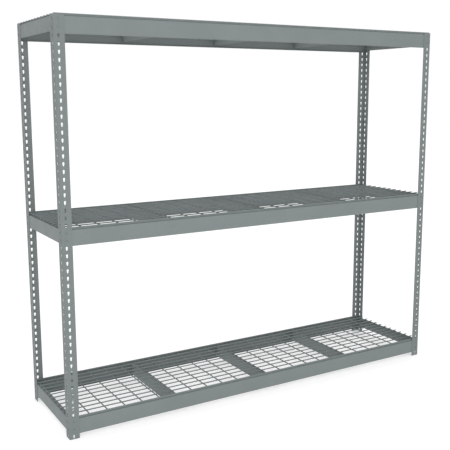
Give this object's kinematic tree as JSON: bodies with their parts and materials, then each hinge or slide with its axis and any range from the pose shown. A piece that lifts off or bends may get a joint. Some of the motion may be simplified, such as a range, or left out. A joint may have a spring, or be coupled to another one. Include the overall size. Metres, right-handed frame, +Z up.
{
  "type": "boltless steel shelving",
  "caption": "Freestanding boltless steel shelving: punched angle posts, riveted beams, center supports and loose welded wire decks.",
  "frame": {"origin": "on the floor at the middle of the footprint of the posts", "axes": "+X along the width to the right seen from the front, +Y from front to rear, +Z up"},
  "size_m": [2.4624, 0.6224, 2.1385],
  "materials": {
    "post_paint": "grey baked enamel, satin",
    "beam_paint": "grey baked enamel, satin",
    "support_paint": "grey baked enamel, satin",
    "deck_paint": "grey baked enamel on wire, satin",
    "rivet_paint": "grey baked enamel, satin"
  },
  "bodies": {
    "frame": {"post_front_left": "post_paint", "post_front_right": "post_paint", "post_rear_left": "post_paint", "post_rear_right": "post_paint", "bottom_front_beam": "beam_paint", "bottom_rear_beam": "beam_paint", "bottom_left_beam": "beam_paint", "bottom_right_beam": "beam_paint", "bottom_support_left": "support_paint", "bottom_support_middle": "support_paint", "bottom_support_right": "support_paint", "bottom_rivets": "rivet_paint", "middle_front_beam": "beam_paint", "middle_rear_beam": "beam_paint", "middle_left_beam": "beam_paint", "middle_right_beam": "beam_paint", "middle_support_left": "support_paint", "middle_support_middle": "support_paint", "middle_support_right": "support_paint", "middle_rivets": "rivet_paint", "top_front_beam": "beam_paint", "top_rear_beam": "beam_paint", "top_left_beam": "beam_paint", "top_right_beam": "beam_paint", "top_support_left": "support_paint", "top_support_middle": "support_paint", "top_support_right": "support_paint", "top_rivets": "rivet_paint"},
    "bottom_deck": {"bottom_deck": "deck_paint"},
    "middle_deck": {"middle_deck": "deck_paint"},
    "top_deck": {"top_deck": "deck_paint"}
  },
  "joints": [
    {"name": "bottom_deck_lift", "type": "slide", "parent": "frame", "child": "bottom_deck", "axis": [0, 0, 1], "range_m": [0, 0.15]},
    {"name": "middle_deck_lift", "type": "slide", "parent": "frame", "child": "middle_deck", "axis": [0, 0, 1], "range_m": [0, 0.15]},
    {"name": "top_deck_lift", "type": "slide", "parent": "frame", "child": "top_deck", "axis": [0, 0, 1], "range_m": [0, 0.15]}
  ]
}
